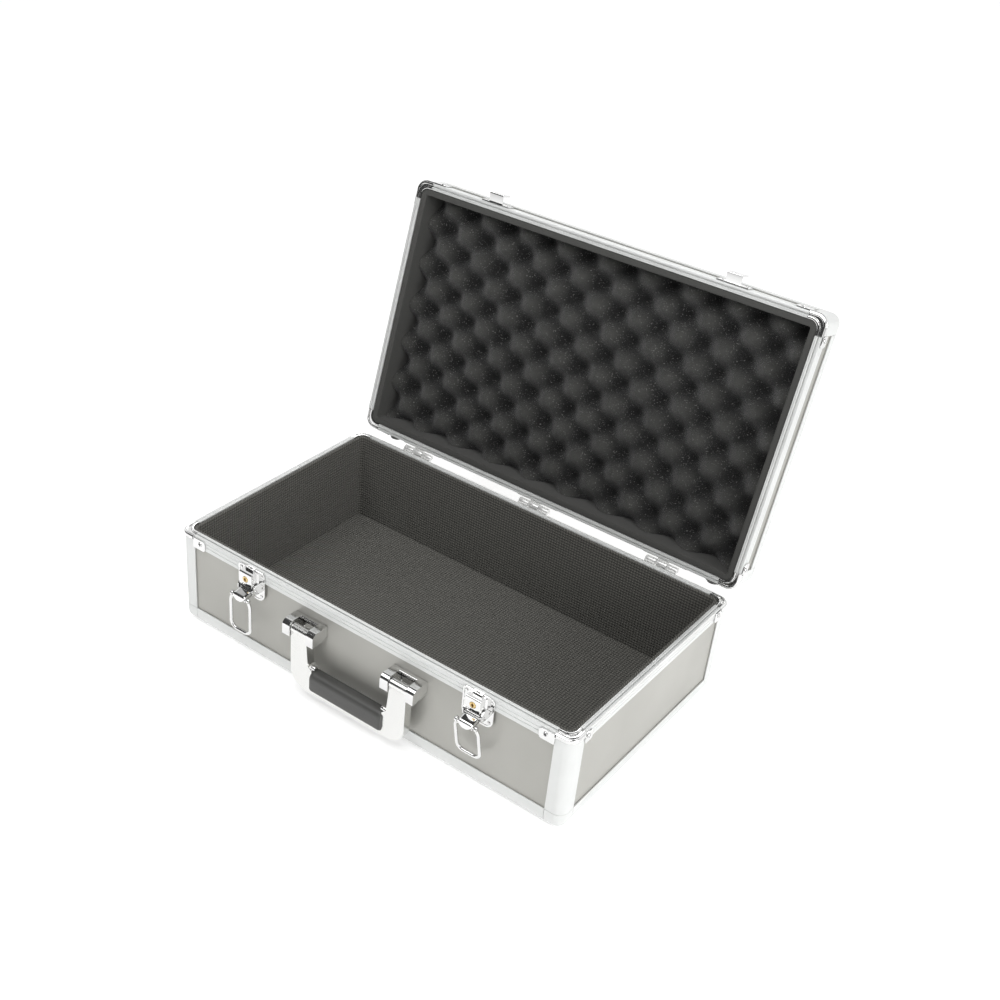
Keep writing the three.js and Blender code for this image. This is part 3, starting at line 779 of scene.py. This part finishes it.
def lining_ring(inner_face, outer_face, foot, top, steps=8):
    """A band of lining all the way round. Its top edge is rounded over."""
    thickness = inner_face - outer_face
    edge = min(1.2 * MM, thickness * 0.45)
    rise = math.copysign(1, top - foot)
    section = [(outer_face, foot), (outer_face, top - rise * edge)]
    section += [(outer_face + edge - edge * math.cos(a), top - rise * (edge - edge * math.sin(a)))
                for a in (math.radians(30), math.radians(60), math.radians(90))]
    section += [(inner_face - edge + edge * math.sin(a), top - rise * (edge - edge * math.cos(a)))
                for a in (0, math.radians(30), math.radians(60), math.radians(90))]
    section += [(inner_face, foot)]
    bm = bmesh.new()
    lines = []
    for depth, z in section:
        plan = []
        for sx, sy, start in CORNERS.values():
            middle = (sx * (HALF_X - WIDE_TURN), sy * (HALF_Y - WIDE_TURN))
            plan += arc(middle, WIDE_TURN - depth, start, start + 90, steps)
        lines.append([bm.verts.new((x, y, z)) for x, y in plan])
    skin(bm, [list(ring) for ring in zip(*lines)], closed=True)
    return bm


BASE_LINING = 3.4 * MM               # thicknesses that show along the top edges
LID_LINING = 6.2 * MM
LINING_BACK = RIM_W + FIT


def build_linings():
    """In each half, a band round the walls and a flat sheet."""
    floor, roof = FLOOR_T + FIT, FOAM_BACK + FIT
    for body, flat, level, thickness, foot, top, looks in (
            ("base", "floor", floor, BASE_LINING, floor, BASE_TOP - 0.8 * MM, ("wall", "floor")),
            ("lid", "roof", roof, LID_LINING, roof + LINER_T, LID_SEAM + 0.8 * MM, ("plain", "plain"))):
        face, node = LINING_BACK + thickness, f"{body}_liner"
        walls = lining_ring(face, LINING_BACK, foot, top)
        finished(f"{body}_wall_lining", walls, LINING[looks[0]], body, "lining", node, angle=50)
        reach = face + FIT / 2
        outline = box_outline(reach - HALF_X, HALF_X - reach, reach - HALF_Y, HALF_Y - reach,
                              WIDE_TURN - reach)
        sheet = solid("z", outline, level, level + LINER_T)
        panel = finished(f"{body}_{flat}_lining", sheet, LINING[looks[1]], body, "lining", node)
        bevel(panel, 0.7 * MM, 3)


# ---- egg-crate foam

FOAM_PITCH = (46.5 * MM, 42.6 * MM)
FOAM_START = (-189 * MM, -91.4 * MM)
FOAM_INSET = LINING_BACK + LID_LINING + 0.25 * MM
FOAM_SEED = 1                        # without one, noise_vector is different on each run
FOAM_STEP = 1.9 * MM


def foam_height(x, y):
    """How far the foam's face lies behind its highest peaks, from 0 to 1."""
    wobble = noise.noise_vector(Vector((x * 20, y * 20, 3.1)))
    u = 2 * math.pi * (x - FOAM_START[0] + wobble.x * 2.0 * MM) / FOAM_PITCH[0]
    v = 2 * math.pi * (y - FOAM_START[1] + wobble.y * 2.0 * MM) / FOAM_PITCH[1]
    wave = 0.5 + 0.5 * math.cos(u) * math.cos(v)
    uneven = 0.07 * (1 + noise.noise(Vector((x * 30, y * 30, 7.7))))
    return min(1.0, wave ** 1.15 + uneven * (1 - wave))


def build_foam():
    noise.seed_set(FOAM_SEED)
    half = (HALF_X - FOAM_INSET, HALF_Y - FOAM_INSET)
    counts = [round(2 * reach / FOAM_STEP) for reach in half]
    bm = bmesh.new()
    rows = []
    for j in range(counts[1] + 1):
        y = -half[1] + 2 * half[1] * j / counts[1]
        row = []
        for i in range(counts[0] + 1):
            x = -half[0] + 2 * half[0] * i / counts[0]
            row.append(bm.verts.new((x, y, FOAM_FACE + FOAM_DEPTH * foam_height(x, y))))
        rows.append(row)
    for lower, upper in zip(rows, rows[1:]):
        for i in range(counts[0]):
            bm.faces.new((lower[i], upper[i], upper[i + 1], lower[i + 1]))
    skirt = bmesh.ops.extrude_edge_only(bm, edges=rim_edges(bm))["geom"]
    for item in skirt:
        if isinstance(item, bmesh.types.BMVert):
            item.co.z = FOAM_BACK
    bmesh.ops.contextual_create(bm, geom=rim_edges(bm))
    obj = finished("egg_crate_foam", bm, FOAM, "lid", "foam", "lid_egg_crate_foam", angle=70)


# ---- hinges

LEAF_Y = (HALF_Y + FIT, HALF_Y + 1.4 * MM)
LEAF_HALF = 25 * MM
PIN_LINE = (HINGE.y, HINGE.z)


def hinge_leaf(x, low, high, knuckles, web_z):
    """One leaf on the back of the case, its webs and its knuckles, given as stretches along X."""
    parts = [solid("y", box_outline(x - LEAF_HALF, x + LEAF_HALF, low, high, 2 * MM), *LEAF_Y)]
    web = box_outline(LEAF_Y[0], LEAF_Y[1] + 0.4 * MM, *sorted((web_z, HINGE.z)))
    for start, end in knuckles:
        parts += [solid("x", web, x + start, x + end),
                  rod("x", PIN_LINE, 3 * MM, x + start, x + end, 32, 0.3 * MM)]
    return parts


def build_hinges():
    outer, inner, middle = 17.5 * MM, 6.1 * MM, 5.8 * MM
    pin_end = outer + 0.5 * MM
    tail = box_outline(HINGE.y, HINGE.y + 7.3 * MM, HINGE.z - 0.8 * MM, HINGE.z + 0.8 * MM)
    for tag, x in (("left", -149 * MM), ("middle", 0), ("right", 149 * MM)):
        base = hinge_leaf(x, 89 * MM, 101.5 * MM, [(-outer, -inner), (inner, outer)], 100 * MM)
        base.append(rod("x", PIN_LINE, 1.2 * MM, x - pin_end, x + pin_end, 20, 0.3 * MM))
        lid = hinge_leaf(x, 109 * MM, 121.5 * MM, [(-middle, middle)], 110 * MM)
        lid.append(solid("x", tail, x - middle, x + middle))
        for body, parts, z in (("base", base, 94 * MM), ("lid", lid, 116.5 * MM)):
            parts += [dome("y", (x + spot, z), 2.2 * MM, LEAF_Y[1] - 0.2 * MM, LEAF_Y[1] + 0.9 * MM)
                      for spot in (-19 * MM, 0, 19 * MM)]
            leaf = shown(f"hinge_{body}_leaf_{tag}", merged(*parts), HINGE_PLATE, body, "chrome")
            bevel(leaf, 0.2 * MM, 2)


# ---- draw latches

PLATE_Y = (FACE - 1.4 * MM, FACE - FIT)
PLATE_FACE = PLATE_Y[0]
HOUSING_FRONT = FACE - 9.5 * MM
HOUSING_HALF = 7.7 * MM
KEY_Z = 95 * MM


def plate_outline(x, low, high, lower, upper, half=16.5, steps=8):
    """A plate round x, with its lower and upper corners' radii. All but x in millimetres."""
    return box_outline(x - half * MM, x + half * MM, low * MM, high * MM,
                       [lower * MM] * 2 + [upper * MM] * 2, steps)


def latch_plate(x):
    """The back plate: two shallow pressed fields inside a raised border."""
    fields = [solid("y", outline, PLATE_FACE - MM, PLATE_FACE + 0.45 * MM)
              for outline in (plate_outline(x, 73.3, 88.9, 6.2, 1, 14.7, 5),
                              plate_outline(x, 90.3, 101.4, 1, 1.6, 14.7, 5))]
    return cut(solid("y", plate_outline(x, 71.5, 103.2, 8, 3), *PLATE_Y), *fields)


def latch_housing(x, pivot):
    """A folded box with a key hole, a mouth for the lever, and two cheeks that hold its pivot."""
    front, back, half = HOUSING_FRONT, PLATE_FACE + 0.6 * MM, HOUSING_HALF
    box = solid("x", box_outline(back, front, 88 * MM, 102.2 * MM, [0, 0.6 * MM, 1.6 * MM, 0], 5),
                x - half, x + half)
    foot = half + 1.6 * MM
    flange = solid("z", [(x - foot, back), (x - half, back - 2 * MM), (x + half, back - 2 * MM),
                         (x + foot, back)], 88 * MM, 101 * MM)
    mouth = solid("x", box_outline(front + 1.2 * MM, PLATE_FACE, 80 * MM, 90.4 * MM),
                  x - 6.6 * MM, x + 6.6 * MM)
    key_hole = rod("y", (x, KEY_Z), 3.25 * MM, front - MM, PLATE_FACE - 0.3 * MM, 40)
    parts = [cut(joined(box, flange), mouth, key_hole)]
    nose = pivot.y - 4 * MM
    cheek = fillet([(back, 79.2 * MM), (nose, 79.2 * MM), (nose, 87 * MM), (pivot.y + MM, 90 * MM),
                    (back, 90 * MM)], [0, 3.8 * MM, 3.8 * MM, 1.5 * MM, 0], 8)
    for side in (-1, 1):
        parts += [solid("x", cheek, *span(side, 8.6, 9.8, x)),
                  dome("x", (pivot.y, pivot.z), 1.9 * MM, x + side * 9.7 * MM, x + side * 10.5 * MM)]
    parts.append(rod("x", (pivot.y, pivot.z), 1.3 * MM, x - 9.6 * MM, x + 9.6 * MM, 24))
    return parts


def latch_keeper(x):
    """The little strap with a slot at the top of the plate."""
    back, front = PLATE_Y[1], PLATE_FACE - 3.0 * MM
    strap = box_outline(x - 5 * MM, x + 5 * MM, front, back, 0.7 * MM, 4)
    slot = box_outline(x - 3 * MM, x + 3 * MM, front + 0.8 * MM, front + 2.6 * MM, 0.3 * MM, 3)
    return cut(solid("z", strap, 99.6 * MM, 104.7 * MM), solid("z", slot, 101 * MM, 106 * MM))


def build_latch_body(tag, x, pivot):
    rivets = [dome("y", (x + a, z), 1.5 * MM, PLATE_FACE + 0.3 * MM, PLATE_FACE - 0.5 * MM)
              for a, z in mm((-13, 99.3), (13, 99.3), (-12.2, 77), (12.2, 77))]
    parts = [latch_plate(x), *latch_housing(x, pivot), latch_keeper(x), *rivets]
    bevel(shown(f"latch_body_{tag}", merged(*parts), CHROME, "base", "chrome"), 0.25 * MM, 3)


def build_key(tag, x):
    """The lock's core. Its keyway is wider in the middle."""
    front, node = HOUSING_FRONT - 0.45 * MM, f"key_cylinder_{tag}"
    core = rod("y", (x, KEY_Z), 3.1 * MM, front, PLATE_FACE - 1.2 * MM, 40, 0.3 * MM)
    keyway = box_outline(x - 0.5 * MM, x + 0.5 * MM, KEY_Z - 2.2 * MM, KEY_Z + 2.2 * MM, 0.3 * MM, 3)
    slot = solid("y", keyway, front - MM, front + 3 * MM)
    middle = solid("y", arc((x, KEY_Z), 1.3 * MM, 0, 330, 11), front - MM, front + 2.2 * MM)
    bevel(shown(node, cut(core, slot, middle), BRASS, node, "brass"), 0.12 * MM, 2)


LEVER_HALF = 7.9 * MM
LIP = 7.2 * MM                       # length of the half-round end
ROLL = 2.2 * MM                      # radius of the sheet's rolled sides
ORIGIN = (0.0, 0.0)


def lever_profile():
    """The lever's top sheet seen from the side, in its own frame: outwards along -Y."""
    bend = arc((-10.9 * MM, -0.5 * MM), 2.6 * MM, 90, 155, 10)
    return mm((-2.2, 0.2), (-2.9, 1.4), (-4.0, 2.1)) + bend + mm((-15.2, -3.5))


def lever_stations(total, steps=20, tip_steps=12, blunt=80):
    """Places along the sheet with half its width there: straight, then closing to a half round.

    The half round stops at blunt degrees, just before it would come to nothing.
    """
    straight = [((total - LIP) * k / steps, LEVER_HALF) for k in range(steps)]
    turns = [math.radians(blunt * k / tip_steps) for k in range(tip_steps + 1)]
    return straight + [(total - LIP * (1 - math.sin(a)), LEVER_HALF * math.cos(a)) for a in turns]


def lever_sheet(thickness=1.2 * MM, across=20):
    """The lever's sheet: rolled down at its sides, and bent down at its end to a lip for a fingertip."""
    line = lever_profile()
    runs = [0.0]
    for a, b in zip(line, line[1:]):
        runs.append(runs[-1] + math.dist(a, b))

    def at(run):
        return Vector([float(np.interp(run, runs, [point[k] for point in line])) for k in (0, 1)])

    bm = bmesh.new()
    layers = ([], [])
    for run, half in lever_stations(runs[-1]):
        heading = (at(run + 0.2 * MM) - at(run - 0.2 * MM)).normalized()
        inward = Vector((-heading.y, heading.x))
        fade = min(1.0, max(0.0, (runs[-1] - LIP + 1.5 * MM - run) / (3 * MM)))
        for lift, rows in zip((0.0, thickness), layers):
            row = []
            for k in range(across + 1):
                x = half * (2 * k / across - 1)
                beyond = max(0.0, abs(x) - (LEVER_HALF - ROLL))
                drop = fade * (ROLL - math.sqrt(ROLL ** 2 - beyond ** 2 * 0.999))
                place = at(run) + inward * (lift + drop)
                row.append(bm.verts.new((x, *place)))
            rows.append(row)
    for rows in layers:
        for a, b in zip(rows, rows[1:]):
            strip(bm, a, b)
    rims = ([[row[0] for row in rows], [row[-1] for row in rows], rows[0], rows[-1]] for rows in layers)
    for top, under in zip(*rims):
        strip(bm, top, under)
    return bm


LEVER_CHEEK = mm((3.0, 1.6), (-2.6, 1.4), (-4.6, -0.5), (-13.6, -0.5), (-13.8, -3.9), (-8.5, -4.0),
                 (-4.5, -2.4), (2.6, -2.6))
LEVER_CHEEK_RADII = [MM] * 4 + [2.2 * MM] + [2 * MM] * 3


def build_lever(tag, pivot):
    """Sheet, two cheeks that hold the bail's pin, and the rolled root round the pivot."""
    cheek = fillet(LEVER_CHEEK, LEVER_CHEEK_RADII, 6)
    cheeks = [solid("x", cheek, *span(side, 6.7, 7.9)) for side in (-1, 1)]
    root = rod("x", ORIGIN, 2.55 * MM, -6.7 * MM, 6.7 * MM)
    place = Matrix.Translation(pivot) @ Matrix.Rotation(LEVER_TILT, 4, "X")
    bevel(hung(f"latch_lever_{tag}", merged(lever_sheet(), *cheeks, root), place), 0.25 * MM, 3)


def bail_line():
    """The bail's wire: from one eye down and round into the end bar, and the same mirrored."""
    half = mm((9.8, -0.3), (10.1, -1.6), (10.7, -3.4), (11.7, -5.6), (12.2, -8.2), (12.2, -17.6),
              (12.2, -24), (12.2, -28), *arc((5.0, -32.0), 7.2, 0, -90, 12))
    return half + [(-a, b) for a, b in reversed(half)]


BAIL_EYE = [(1.32, 9.0), (2.3, 9.0), (2.6, 9.5), (2.6, 10.9), (2.3, 11.4), (1.32, 11.4)]


def build_bail(tag, place):
    """The wire bail with its two eyes, and the pin that they turn on."""
    eyes = [turned("x", ORIGIN, mm(*((radius, side * reach) for radius, reach in BAIL_EYE)), 28)
            for side in (-1, 1)]
    hung(f"latch_bail_{tag}", merged(wire(bail_line(), 1.75 * MM), *eyes), place, 50)
    pin = rod("x", ORIGIN, 1.2 * MM, -11.2 * MM, 11.2 * MM, 24)
    heads = [dome("x", ORIGIN, 1.75 * MM, side * 11.1 * MM, side * 11.8 * MM) for side in (-1, 1)]
    hung(f"bail_pin_{tag}", merged(pin, *heads), place, 50)


def build_hook(tag, x):
    """The lid's catch: a plate on the rim, a foot and an upturned lip."""
    plate = solid("y", plate_outline(x, 106.6, 117, 1, 3, steps=6), *PLATE_Y)
    back, outer, inner = PLATE_Y[1] - 0.6 * MM, FACE - 10.4 * MM, FACE - 8.8 * MM
    foot, rise, thick, tip = LID_SEAM + 0.5 * MM, 2.2 * MM, 1.1 * MM, 119.5 * MM
    outline = fillet([(back, foot + rise), (outer, foot), (outer, tip), (inner, tip),
                      (inner, foot + 0.3 * MM + thick), (back, foot + rise + thick)],
                     [0, 1.0 * MM, 0.5 * MM, 0.5 * MM, 0.5 * MM, 0], 6)
    hook = solid("x", outline, x - 8 * MM, x + 8 * MM)
    rivets = [dome("y", (x + side * 12.6 * MM, 112 * MM), 1.6 * MM, PLATE_FACE + 0.2 * MM,
                   PLATE_FACE - 0.7 * MM) for side in (-1, 1)]
    bevel(shown(f"catch_hook_{tag}", merged(plate, hook, *rivets), CHROME, "lid", "chrome"), 0.3 * MM, 3)


def build_latches():
    for tag, lean in (("left", 0), ("right", 12)):
        pivot = joint_at(f"lever_fold_{tag}")
        hang = joint_at(f"bail_swing_{tag}")
        build_latch_body(tag, pivot.x, pivot)
        build_key(tag, pivot.x)
        build_lever(tag, pivot)
        build_bail(tag, Matrix.Translation(hang) @ Matrix.Rotation(math.radians(lean), 4, "X"))
        build_hook(tag, pivot.x)


# ---- handle

HANDLE_X = 57.5 * MM
BRACKET_BACK = FACE + 1.5 * MM - FIT
FRAME_HALF = 4.5 * MM                # half the cast frame's thickness
# The frame's right half from the front: X, Z and the corner's radius, in millimetres. Up the arm's
# outer side, along under the grip, up the step beside it and up the arm's inner side.
FRAME_OUTLINE = [(67, 75, 0), (67, 13, 19), (28, 13, 0), (28, 17.5, 0), (41, 17.5, 1.5),
                 (41.5, 39.5, 1.5), (46, 43.5, 1.5), (48, 66, 3), (48, 75, 0)]


def bracket_profile():
    """A lug from the side: flat on top, sloping below, with a nose rounded more at its top."""
    back, nose = BRACKET_BACK, -151 * MM
    return fillet([(back, 82.5 * MM), (nose, 82.5 * MM), (nose, 66.6 * MM), (back, 70 * MM)],
                  [0, 6 * MM, 1.6 * MM, 0], 12)


def build_bracket(tag, x, pivot):
    """Two lugs joined by a web, with a pin through them."""
    lugs = [solid("x", bracket_profile(), *span(side, 10, 18.5, x)) for side in (-1, 1)]
    back, front = BRACKET_BACK, BRACKET_BACK - 4.4 * MM
    web = fillet([(back, 70 * MM), (back, 82.5 * MM), (front, 82.5 * MM), (front, 70 * MM)],
                 [0, 0, 1 * MM, 0], 4)
    body = joined(solid("x", web, x - 12 * MM, x + 12 * MM), *lugs)
    pin = rod("x", (pivot.y, pivot.z), 2 * MM, x - 18 * MM, x + 18 * MM)
    bevel(shown(f"handle_bracket_{tag}", merged(body, pin), CHROME, "base", "chrome"), 0.5 * MM, 3)


def build_handle(pivot):
    """The cast frame: two arms with eyes at their ends, and a rail under the grip."""
    depth = (pivot.y - FRAME_HALF, pivot.y + FRAME_HALF)
    line = (pivot.y, pivot.z)
    radii = [radius * MM for _, _, radius in FRAME_OUTLINE]
    arms = [solid("y", fillet(mm(*((side * a, b) for a, b, _ in FRAME_OUTLINE)), radii, 10), *depth)
            for side in (-1, 1)]
    rail = solid("y", box_outline(-46 * MM, 46 * MM, 13 * MM, 17.5 * MM), *depth)
    eyes = [rod("x", line, 5 * MM, *span(side, 48, 67), 48) for side in (-1, 1)]
    body = joined(joined(rail, *arms), *eyes)
    body = cut(body, rod("x", line, 2.11 * MM, -68 * MM, 68 * MM))
    bevel(shown("handle_frame", body, HANDLE_PLATE, "handle", "extrusion", 30), 0.8 * MM, 4)
    bolts = [rod("x", (pivot.y - MM, 41.6 * MM), 2.4 * MM, *span(side, 39, 45), 24, 0.8 * MM)
             for side in (-1, 1)]
    finished("handle_bolts", merged(*bolts), CHROME, "handle", "chrome", "handle_frame")
    build_grip(pivot)


def build_grip(pivot):
    """A soft-cornered black bar, drawn in a little at its ends."""
    reach, steps = 41.7 * MM, 56
    low, high, depth = 17.8 * MM, 39 * MM, 7.5 * MM
    radii = [3.5 * MM, 3.5 * MM, 6.5 * MM, 6.5 * MM]
    bm = bmesh.new()
    rings = []
    for i in range(steps + 1):
        x = -reach + 2 * reach * i / steps
        end = min(1.0, (reach - abs(x)) / (2.5 * MM))
        full = 0.93 + 0.07 * math.sqrt(max(0.0, 1 - (1 - end) ** 2))
        drawn_in = (1 - full) * 8 * MM
        section = box_outline(-depth * full, depth * full, low + drawn_in, high - drawn_in, radii, 8)
        rings.append([bm.verts.new((x, pivot.y + a, b)) for a, b in section])
    skin(bm, rings)
    shown("handle_grip", bm, PLASTIC, "handle", "grip", 50)


# ---- floor, light, camera

WORLD_DIM = 0.06
WORLD_BRIGHT = 1.0


def build_floor():
    bm = bmesh.new()
    bmesh.ops.create_grid(bm, x_segments=1, y_segments=1, size=8)
    floor = finished("floor", bm, pale_floor(), None, None)
    floor.location.z = -0.0005


def build_world():
    """A white backdrop behind and beside the case, and a dim room overhead and in front of it.

    The bright part is where the direction looks backwards or to the right, and not too high.
    """
    world = bpy.data.worlds.new("studio")
    bpy.context.scene.world = world
    world.use_nodes = True
    tree = world.node_tree
    background = tree.nodes["Background"]
    place = tree.nodes.new("ShaderNodeTexCoord")
    split = tree.nodes.new("ShaderNodeSeparateXYZ")
    tree.links.new(place.outputs["Generated"], split.inputs[0])

    def combined(operation, a, b):
        node = tree.nodes.new("ShaderNodeMath")
        node.operation = operation
        tree.links.new(a, node.inputs[0])
        tree.links.new(b, node.inputs[1])
        return node.outputs[0]

    x, y, z = split.outputs
    backdrop = combined("MAXIMUM", smooth_step(tree, y, -0.25, 0.1, 0, 1),
                        smooth_step(tree, x, 0.45, 0.7, 0, 1))
    lit = combined("MULTIPLY", backdrop, smooth_step(tree, z, 0.74, 0.86, 1, 0))
    strength = tree.nodes.new("ShaderNodeMapRange")
    strength.inputs["To Min"].default_value = WORLD_DIM
    strength.inputs["To Max"].default_value = WORLD_BRIGHT
    tree.links.new(lit, strength.inputs["Value"])
    tree.links.new(strength.outputs["Result"], background.inputs["Strength"])
    background.inputs["Color"].default_value = (1, 1, 1, 1)


def area_light(name, where, towards, size, power):
    light = bpy.data.lights.new(name, "AREA")
    light.shape = "RECTANGLE"
    light.size, light.size_y = size
    light.energy = power
    obj = bpy.data.objects.new(name, light)
    bpy.context.scene.collection.objects.link(obj)
    obj.location = where
    obj.rotation_euler = (Vector(towards) - Vector(where)).to_track_quat("-Z", "Y").to_euler()


def build_lights():
    area_light("overhead_softbox", (0.0, -0.75, 1.5), (0, 0, 0.1), (1.8, 1.2), 19)
    area_light("right_softbox", (2.0, -0.2, 0.9), (0, 0, 0.1), (0.9, 0.9), 11.5)
    area_light("backdrop_light", (-1.4, 2.6, 2.2), (-0.9, 1.7, 0), (2.0, 1.2), 25)


CAMERA = {
    "where": (0.61318, -0.89031, 0.85328),
    "right": (0.78847453, 0.61131043, 0.06787838),
    "up": (-0.39604041, 0.42015854, 0.81646727),
    "lens": 50.33,
    "shift": (0.0587, 0.0688),
}


def build_camera():
    data = bpy.data.cameras.new("camera")
    data.lens = CAMERA["lens"]
    data.sensor_width = 36
    data.shift_x, data.shift_y = CAMERA["shift"]
    data.clip_end = 50
    camera = bpy.data.objects.new("camera", data)
    bpy.context.scene.collection.objects.link(camera)
    right = Vector(CAMERA["right"]).normalized()
    up = Vector(CAMERA["up"]).normalized()
    back = right.cross(up)
    turn = Matrix((right, back.cross(right), back)).transposed()
    camera.matrix_world = Matrix.Translation(CAMERA["where"]) @ turn.to_4x4()
    bpy.context.scene.camera = camera


build_camera()
build_world()
build_lights()
build_floor()
build_extrusions()
build_rims()
build_rim_corners()
build_boards()
build_feet()
build_linings()
build_foam()
build_hinges()
build_latches()
handle_pivot = joint_at("handle_swing")
for tag, x in (("left", -HANDLE_X), ("right", HANDLE_X)):
    build_bracket(tag, x, handle_pivot)
build_handle(handle_pivot)

bpy.context.scene.view_settings.view_transform = "Standard"
